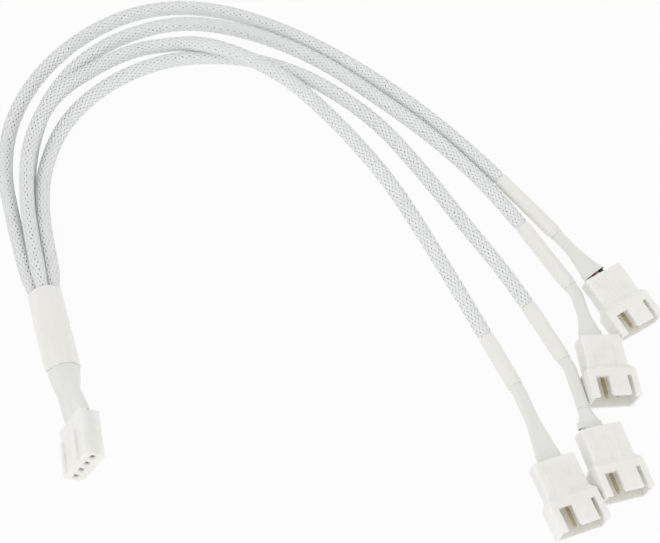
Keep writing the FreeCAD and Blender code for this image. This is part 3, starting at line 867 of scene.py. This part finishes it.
    def cover(self, line: Centreline) -> bpy.types.Object:
        """Shrinks the cover over the wires: round from the collar on, then spread flat to the plug's back.

        Args:
            line: The leg's tail.

        Returns:
            The piece.
        """
        along = np.linspace(self.collar.length - self.cover_tuck, line.length, self.cover_rings)
        solid_end = line.length - self.cover_stretch
        places = [solid_end - self.flare, solid_end, line.length]
        widest = self.cover_spread + self.cover_widening * self.cover_stretch
        roll = line.turn_to(self.plug.side)
        rings = np.stack([
            along,
            softened(along, places, [self.bundle_radius(), self.cover_spread, widest]),
            softened(along, places, [self.bundle_radius(), self.cover_room, self.cover_room]),
            softened(along, places, [0.0, 1.0, 1.0]),
            softened(along, places, [0.0, roll, roll])], axis=1)
        pitch = 2 * (self.cover_spread - self.cover_room) / (self.wires - 1)
        tube = Tube(wall=self.cover_wall, wires=self.wires, pitch=pitch, slant=self.cover_slant)
        mesh = tube.shell(f"wire_cover_{self.number}", line, rings)
        return add_piece(f"wire_cover_{self.number}", mesh, THIN_SHRINK,
                         [f"output_cover_{self.number}"])

    def build(self) -> bpy.types.Object:
        """Returns:
            The sleeve.
        """
        line = Centreline.through(f"leg_{self.number}", self.controls())
        sleeve = add_piece(f"braid_{self.number}", self.braid(line), BRAID,
                           [f"sleeve_{self.number}"])
        core = add_piece(f"core_{self.number}", self.core(line), JACKET, [])
        dark = add_piece(f"dark_wire_{self.number}", self.dark_wire(line), WIRE_GREY, [])
        tail = self.tail()
        nodes = frame["nodes"]
        on_it = [core, dark, self.collar.build(self, tail), self.cover(tail)]
        on_it += [nodes[name] for name in sorted(nodes) if self.carries(name)]
        self.joint.point(0.0, 0.0, 0.0)
        line.length
        return sleeve

    def carries(self, name: str) -> bool:
        """Whether a solid hangs on this leg's far end."""
        starts = [f"{start}_{self.number}" for start in ("output_housing", "output_pin", "output_wire")]
        return name.startswith(tuple(starts))


class Dressing:
    """Gives each solid that stays its finish."""

    # The second line of each plug is the red one
    RED_LINE = "_2"
    FINISHES = {
        "input_housing": HOUSING,
        "output_housing": HOUSING,
        "input_contact": CONTACT,
        "output_pin": CONTACT,
        "input_wire": WIRE,
        "output_wire": WIRE,
        "splice": SPLICE,
    }

    def dress(self) -> None:
        """Dresses the solids by the start of their names."""
        for name, solid in frame["nodes"].items():
            for start, finish in self.FINISHES.items():
                if name.startswith(start):
                    red = finish is WIRE and name.endswith(self.RED_LINE)
                    solid.data.materials.clear()
                    solid.data.materials.append((WIRE_RED if red else finish).material())


@dataclass(frozen=True)
class Lamp:
    """A square soft lamp: its place, its side, and the light that it adds to a white card at the lead.

    A level of one makes the card white.
    """

    name: str
    place: tuple[float, float, float]
    width: float
    level: float


@dataclass(frozen=True)
class Studio:
    """Camera, light and floor of a plain product shot."""

    eye: tuple[float, float, float] = (-0.0023, -0.11865, 0.2250)
    aim: tuple[float, float, float] = (-0.0023, 0.0199, 0.0)
    lens: float = 57.15
    sensor: float = 36.0
    nearest: float = 0.01
    dome: float = 0.86
    key: Lamp = Lamp("key_lamp", (-0.50, -0.30, 0.22), 0.45, 0.06)
    fill: Lamp = Lamp("fill_lamp", (0.25, -0.45, 0.25), 0.40, 0.04)
    floor_half: float = 2.0
    floor_glow: float = 0.72
    floor_glow_seen: float = 0.9

    def aimed(self, holder: bpy.types.Object, place: tuple[float, float, float]) -> None:
        """Puts the camera or a lamp in its place, turned to the lead.

        Args:
            holder: The camera or the lamp.
            place: Where it goes.
        """
        holder.location = place
        holder.rotation_euler = (Vector(self.aim) - Vector(place)).to_track_quat("-Z", "Y").to_euler()
        bpy.context.scene.collection.objects.link(holder)

    def camera(self) -> None:
        """Sets the camera at the height and slant of the photograph."""
        data = bpy.data.cameras.new("camera")
        data.lens = self.lens
        data.sensor_width = self.sensor
        data.clip_start = self.nearest
        holder = bpy.data.objects.new("camera", data)
        self.aimed(holder, self.eye)
        bpy.context.scene.camera = holder

    def seen_directly(self, tree: bpy.types.NodeTree) -> bpy.types.NodeSocket:
        """One for rays from the camera, from gloss or through clear things, and zero for the rest.

        Args:
            tree: Node tree of the floor or the world.

        Returns:
            Output socket with the one or the zero.
        """
        path = add_node(tree, "ShaderNodeLightPath")
        first = add_node(tree, "ShaderNodeMath", {"operation": "MAXIMUM"},
                         {0: path.outputs["Is Camera Ray"], 1: path.outputs["Is Glossy Ray"]})
        both = add_node(tree, "ShaderNodeMath", {"operation": "MAXIMUM"},
                        {0: first.outputs[0], 1: path.outputs["Is Transmission Ray"]})
        return both.outputs[0]

    def sky(self) -> None:
        """Lights the part from all round, with white where the sky itself is seen."""
        world = bpy.data.worlds.new("white_tent")
        world.use_nodes = True
        tree = world.node_tree
        tree.nodes.clear()
        light = add_node(tree, "ShaderNodeBackground", {"Color": linear("#FFFFFF"), "Strength": self.dome})
        white = add_node(tree, "ShaderNodeBackground", {"Color": linear("#FFFFFF"), "Strength": 1.0})
        mix = add_node(tree, "ShaderNodeMixShader", links={
            0: self.seen_directly(tree), 1: light.outputs[0], 2: white.outputs[0]})
        add_node(tree, "ShaderNodeOutputWorld", links={"Surface": mix.outputs[0]})
        bpy.context.scene.world = world

    def hang(self, lamp: Lamp) -> None:
        """Hangs a lamp that faces the lead.

        Args:
            lamp: The lamp.
        """
        data = bpy.data.lights.new(lamp.name, "AREA")
        data.size = lamp.width
        reach = (Vector(lamp.place) - Vector(self.aim)).length
        data.energy = lamp.level * math.pi ** 2 * reach ** 2
        self.aimed(bpy.data.objects.new(lamp.name, data), lamp.place)

    def floor(self) -> None:
        """Lays a lit white table: it shows almost white, lights the lead and keeps a faint shadow."""
        half = self.floor_half
        corners = [(-half, -half, 0.0), (half, -half, 0.0), (half, half, 0.0), (-half, half, 0.0)]
        mesh = bpy.data.meshes.new("floor")
        mesh.from_pydata(corners, [], [(0, 1, 2, 3)])
        made = bpy.data.materials.new("paper_white_matt")
        made.use_nodes = True
        tree = made.node_tree
        tree.nodes.clear()
        paper = add_node(tree, "ShaderNodeBsdfDiffuse", {"Color": linear("#F6F6F6")})
        white = add_node(tree, "ShaderNodeEmission", {"Color": linear("#FFFFFF"), "Strength": 1.0})
        share = add_node(tree, "ShaderNodeMapRange",
                         {"To Min": self.floor_glow, "To Max": self.floor_glow_seen},
                         {"Value": self.seen_directly(tree)})
        mix = add_node(tree, "ShaderNodeMixShader", links={
            0: share.outputs[0], 1: paper.outputs[0], 2: white.outputs[0]})
        add_node(tree, "ShaderNodeOutputMaterial", links={"Surface": mix.outputs[0]})
        mesh.materials.append(made)
        holder = bpy.data.objects.new("floor", mesh)
        bpy.context.scene.collection.objects.link(holder)

    def build(self) -> None:
        """Sets up the shot."""
        bpy.context.scene.view_settings.view_transform = "Standard"
        self.camera()
        self.sky()
        self.floor()
        self.hang(self.key)
        self.hang(self.fill)


JOINT = Joint()
PLUG_LENGTH = 16.3 * MM
# Where the second leg's cover passes the third plug's mouth
PASSING = (0.0557, -0.0188, 0.0040)
LEGS = [
    # Leaves on top of the third leg, comes down inside it and passes over the second
    BraidedLeg(1, mouth=(0, 1), clear=(0.0, 6.6 * MM), route=[
        (-0.0794, 0.0345, 0.0065), (-0.0822, 0.0515, 0.0059), (-0.0806, 0.0650, 0.0058),
        (-0.0772, 0.0745, 0.0050), (-0.0707, 0.0850, 0.0020), (-0.0595, 0.0933, 0.0019),
        (-0.0460, 0.0952, 0.0026), (-0.0372, 0.0910, 0.0065), (-0.0270, 0.0870, 0.0064),
        (-0.0176, 0.0833, 0.0036), (-0.0105, 0.0788, 0.0019), (0.0015, 0.0643, 0.0019),
        (0.0134, 0.0468, 0.0019), (0.0224, 0.0284, 0.0019), (0.0306, 0.0106, 0.0019),
        (0.0376, -0.0056, 0.0026)],
        wires=4, wire_turns=(1.4, 1.6, 0.5, 0.75), joint=JOINT, plug=Plug("fan_plug_1", 2.0, PLUG_LENGTH),
        collar=Collar(14.5 * MM), flare=10.0 * MM, cover_end=0.4 * MM, cover_gap=0.1 * MM),
    # Leaves at the inner side of the bend and passes under the first
    BraidedLeg(2, mouth=(1, 0), clear=(3.1 * MM, 4.2 * MM), route=[
        (-0.0759, 0.0335, 0.0042), (-0.0786, 0.0505, 0.0019), (-0.0746, 0.0683, 0.0019),
        (-0.0633, 0.0823, 0.0019), (-0.0472, 0.0904, 0.0019), (-0.0300, 0.0908, 0.0019),
        (-0.0180, 0.0876, 0.0019), (-0.0055, 0.0812, 0.0019), (0.0102, 0.0675, 0.0019),
        (0.0220, 0.0503, 0.0019), (0.0322, 0.0330, 0.0019), (0.0431, 0.0156, 0.0019),
        (0.0488, 0.0029, 0.0026)],
        wires=3, wire_turns=(2.0, 1.5, 0.85, 1.1), joint=JOINT, plug=Plug("fan_plug_2", 6.0, PLUG_LENGTH),
        collar=Collar(16.5 * MM), flare=4.0 * MM, cover_end=0.7 * MM, cover_gap=0.12 * MM,
        cover_slant=0.7 * MM, passing=(PASSING,)),
    # Leaves under the first leg and lies on the table all along the bend
    BraidedLeg(3, mouth=(0, -1), clear=(0.0, 1.9 * MM), route=[
        (-0.0793, 0.0335, 0.0019), (-0.0826, 0.0500, 0.0019), (-0.0824, 0.0650, 0.0019),
        (-0.0798, 0.0768, 0.0019), (-0.0732, 0.0895, 0.0019), (-0.0622, 0.0990, 0.0019),
        (-0.0453, 0.1049, 0.0019), (-0.0254, 0.1006, 0.0019), (-0.0064, 0.0905, 0.0019),
        (0.0109, 0.0757, 0.0019), (0.0270, 0.0602, 0.0019), (0.0415, 0.0422, 0.0019),
        (0.0499, 0.0266, 0.0026)],
        wires=3, wire_turns=(1.3, 0.7, 0.45, 0.65), joint=JOINT, plug=Plug("fan_plug_3", 7.0, PLUG_LENGTH),
        collar=Collar(20.9 * MM), flare=6.0 * MM, cover_end=0.6 * MM, cover_gap=0.25 * MM),
    # Leaves at the outer side and goes round the outside of the bend
    BraidedLeg(4, mouth=(-1, 0), clear=(-3.1 * MM, 4.2 * MM), route=[
        (-0.0837, 0.0338, 0.0034), (-0.0892, 0.0505, 0.0019), (-0.0898, 0.0680, 0.0019),
        (-0.0842, 0.0855, 0.0019), (-0.0726, 0.1005, 0.0019), (-0.0565, 0.1099, 0.0019),
        (-0.0373, 0.1102, 0.0019), (-0.0176, 0.1024, 0.0019), (0.0018, 0.0895, 0.0019),
        (0.0198, 0.0738, 0.0019), (0.0366, 0.0556, 0.0019), (0.0462, 0.0418, 0.0026)],
        wires=3, wire_turns=(1.1, 0.64, 0.95, 1.15), joint=JOINT, plug=Plug("fan_plug_4", -4.0, PLUG_LENGTH),
        collar=Collar(22.0 * MM), flare=9.0 * MM, cover_end=0.9 * MM, cover_gap=0.12 * MM,
        cover_slant=-1.2 * MM),
]


def main() -> None:
    """Builds the lead's looks piece by piece, and the shot around it."""
    logging.basicConfig(level=logging.INFO, format="%(message)s")
    Dressing().dress()
    JOINT.outer()
    JOINT.inner()
    for leg in LEGS:
        leg.build()
    Studio().build()


if __name__ == "__main__":
    main()
